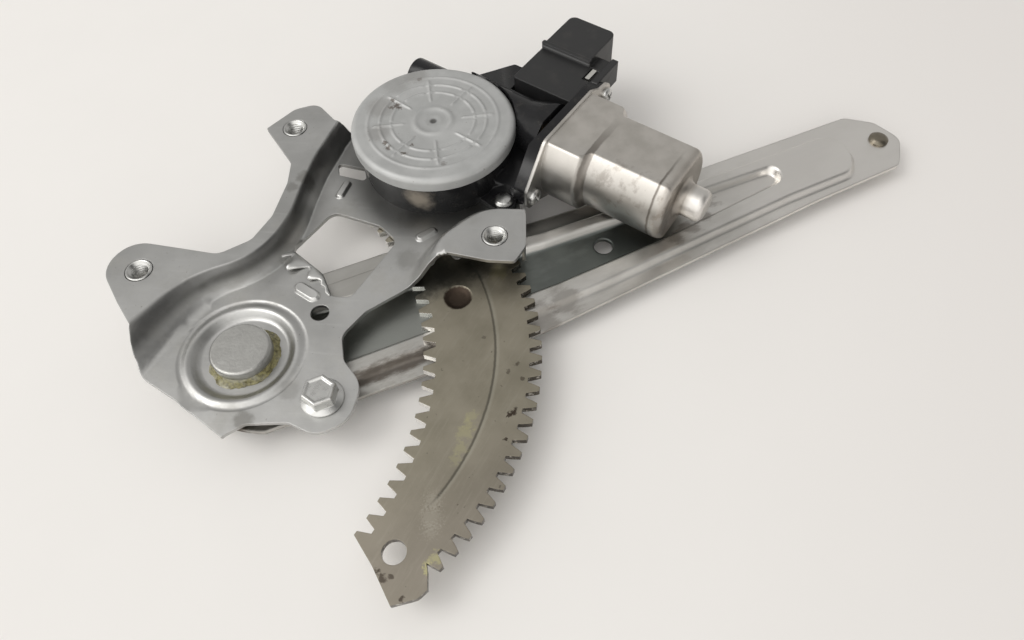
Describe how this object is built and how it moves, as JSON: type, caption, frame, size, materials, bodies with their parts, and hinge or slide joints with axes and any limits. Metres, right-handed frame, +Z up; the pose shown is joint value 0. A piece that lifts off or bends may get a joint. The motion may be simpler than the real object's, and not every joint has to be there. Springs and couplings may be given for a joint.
{
  "type": "window regulator",
  "caption": "Single-arm electric window regulator: pressed base plate, lift arm with toothed sector, and worm-geared motor.",
  "frame": {"origin": "on the arm's pivot axis, in the foot face of the pivot stud", "axes": "+Z up from the table to the ears, +X along the lift arm at its lowest position"},
  "size_m": [0.3702, 0.2393, 0.0491],
  "materials": {
    "zinc_plate": "satin zinc plating on pressed sheet",
    "zinc_arm": "brighter zinc plating with a bluish cast",
    "oiled_steel": "bare oiled steel with grease",
    "bright_zinc": "bright plated fasteners",
    "cover_metal": "matte light grey",
    "can_metal": "warm grey plating, worn edges",
    "case_plastic": "black glass-filled plastic",
    "plug_plastic": "dark charcoal plastic",
    "nylon": "natural nylon",
    "wheel_plastic": "natural acetal",
    "soft_rubber": "matte",
    "bearing_bronze": "sintered bronze",
    "bare_steel": "ground steel",
    "copper": "copper",
    "ferrite": "dark ferrite",
    "carbon": "carbon brush"
  },
  "bodies": {
    "base": {"base_plate": "zinc_plate", "ear_nuts": "bright_zinc", "stop_bolt": "bright_zinc", "stop_nut": "bright_zinc", "pivot_bush": "bearing_bronze", "gear_housing": "case_plastic", "output_bush": "bearing_bronze", "case_screws": "bright_zinc", "cover_seal": "soft_rubber", "gear_cover": "cover_metal", "motor_can": "can_metal", "motor_screws": "bright_zinc", "magnets": "ferrite", "brush_holder": "plug_plastic", "brushes": "carbon", "brush_springs": "bare_steel", "shaft_bushes": "bearing_bronze", "thrust_pad": "bare_steel", "connector_housing": "plug_plastic", "connector_terminals": "copper", "terminal_strip": "bright_zinc"},
    "arm": {"lift_arm": "zinc_arm", "sector_gear": "oiled_steel", "sector_rivets": "oiled_steel", "pivot_stud": "zinc_plate", "pivot_washer": "bare_steel", "roller_stud": "bare_steel"},
    "roller": {"guide_roller": "nylon"},
    "output": {"output_pinion": "bare_steel", "worm_wheel": "wheel_plastic", "damper_rubber": "soft_rubber", "drive_plate": "bare_steel", "shaft_clip": "bare_steel"},
    "armature": {"armature_shaft": "bare_steel", "armature_core": "bare_steel", "windings": "copper", "commutator": "copper"}
  },
  "joints": [
    {"name": "arm_pivot", "type": "hinge", "parent": "base", "child": "arm", "pos_m": [0, 0, 0.01], "axis": [0, 0, 1], "range_deg": [0, 95]},
    {"name": "roller_spin", "type": "hinge", "parent": "arm", "child": "roller", "pos_m": [0.3192, 0, 0.0035], "axis": [0, 0, 1], "continuous": true},
    {"name": "output_spin", "type": "hinge", "parent": "base", "child": "output", "pos_m": [0.10905, 0.06962, 0.0315], "axis": [0, 0, 1], "range_deg": [-1120, 1]},
    {"name": "armature_spin", "type": "hinge", "parent": "base", "child": "armature", "pos_m": [0.13525, 0.08618, 0.0315], "axis": [0.5344, -0.8453, 0], "range_deg": [-60480, 54]}
  ],
  "couplings": [
    {"joint": "output_spin", "follows": "arm_pivot", "ratio": -11.778},
    {"joint": "armature_spin", "follows": "arm_pivot", "ratio": -636}
  ]
}
